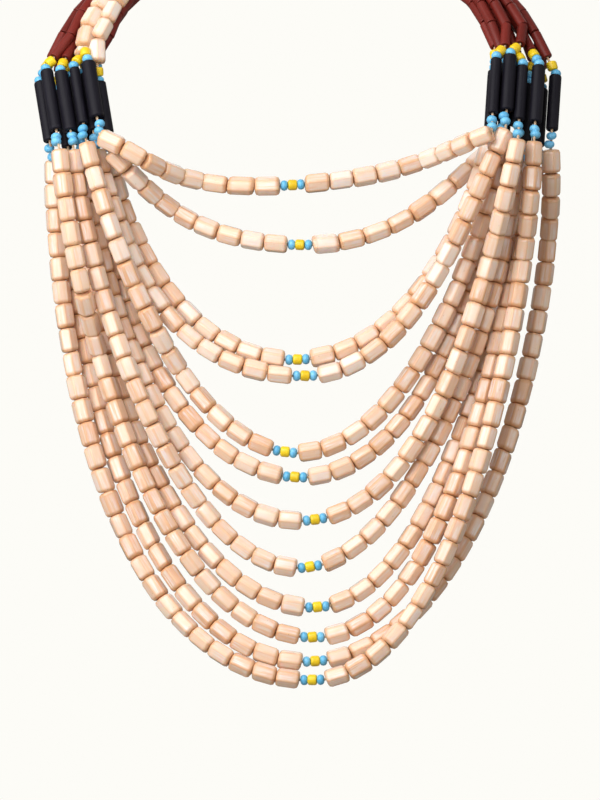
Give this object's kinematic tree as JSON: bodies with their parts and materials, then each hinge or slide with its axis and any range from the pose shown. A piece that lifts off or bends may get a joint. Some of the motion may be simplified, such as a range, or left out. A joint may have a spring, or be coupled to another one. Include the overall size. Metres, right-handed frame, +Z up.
{
  "type": "long beaded necklace",
  "caption": "Long bib necklace: strings of pale six-sided glass beads in graded curves between two clusters of black tube beads, with neck strings and a plain clasp.",
  "frame": {"origin": "on the clasp's front, at the middle of its length, where the necklace lies against the nape of the neck", "axes": "+Z up as it is worn, -Y towards the wearer's front, where the strings hang, +X towards the wearer's left"},
  "size_m": [0.2115, 0.1505, 0.3198],
  "materials": {
    "bead_glass": "opaque peach-cream glass with fine lengthwise streaks, semi-gloss",
    "tube_glass": "opaque black glass, satin gloss",
    "neck_glass": "opaque brick-red glass, semi-matt",
    "clasp_brass": "plain brushed brass",
    "blue_seed_glass": "opaque light blue glass, semi-gloss, on the seed beads",
    "yellow_seed_glass": "opaque yellow glass, semi-gloss, on the seed beads",
    "thread": "twisted tan thread, matt"
  },
  "bodies": {
    "root": {"string_01": "bead_glass", "string_02": "bead_glass", "string_03": "bead_glass", "string_04": "bead_glass", "string_05": "bead_glass", "string_06": "bead_glass", "string_07": "bead_glass", "string_08": "bead_glass", "string_09": "bead_glass", "string_10": "bead_glass", "string_11": "bead_glass", "string_12": "bead_glass", "tube_left_01": "tube_glass", "tube_left_02": "tube_glass", "tube_left_03": "tube_glass", "tube_left_04": "tube_glass", "tube_left_05": "tube_glass", "tube_left_06": "tube_glass", "tube_left_07": "tube_glass", "tube_left_08": "tube_glass", "tube_left_09": "tube_glass", "tube_left_10": "tube_glass", "tube_left_11": "tube_glass", "tube_left_12": "tube_glass", "tube_right_01": "tube_glass", "tube_right_02": "tube_glass", "tube_right_03": "tube_glass", "tube_right_04": "tube_glass", "tube_right_05": "tube_glass", "tube_right_06": "tube_glass", "tube_right_07": "tube_glass", "tube_right_08": "tube_glass", "tube_right_09": "tube_glass", "tube_right_10": "tube_glass", "tube_right_11": "tube_glass", "tube_right_12": "tube_glass", "neck_bundle_left": "neck_glass", "neck_bundle_right": "neck_glass", "clasp": "clasp_brass"}
  },
  "joints": []
}
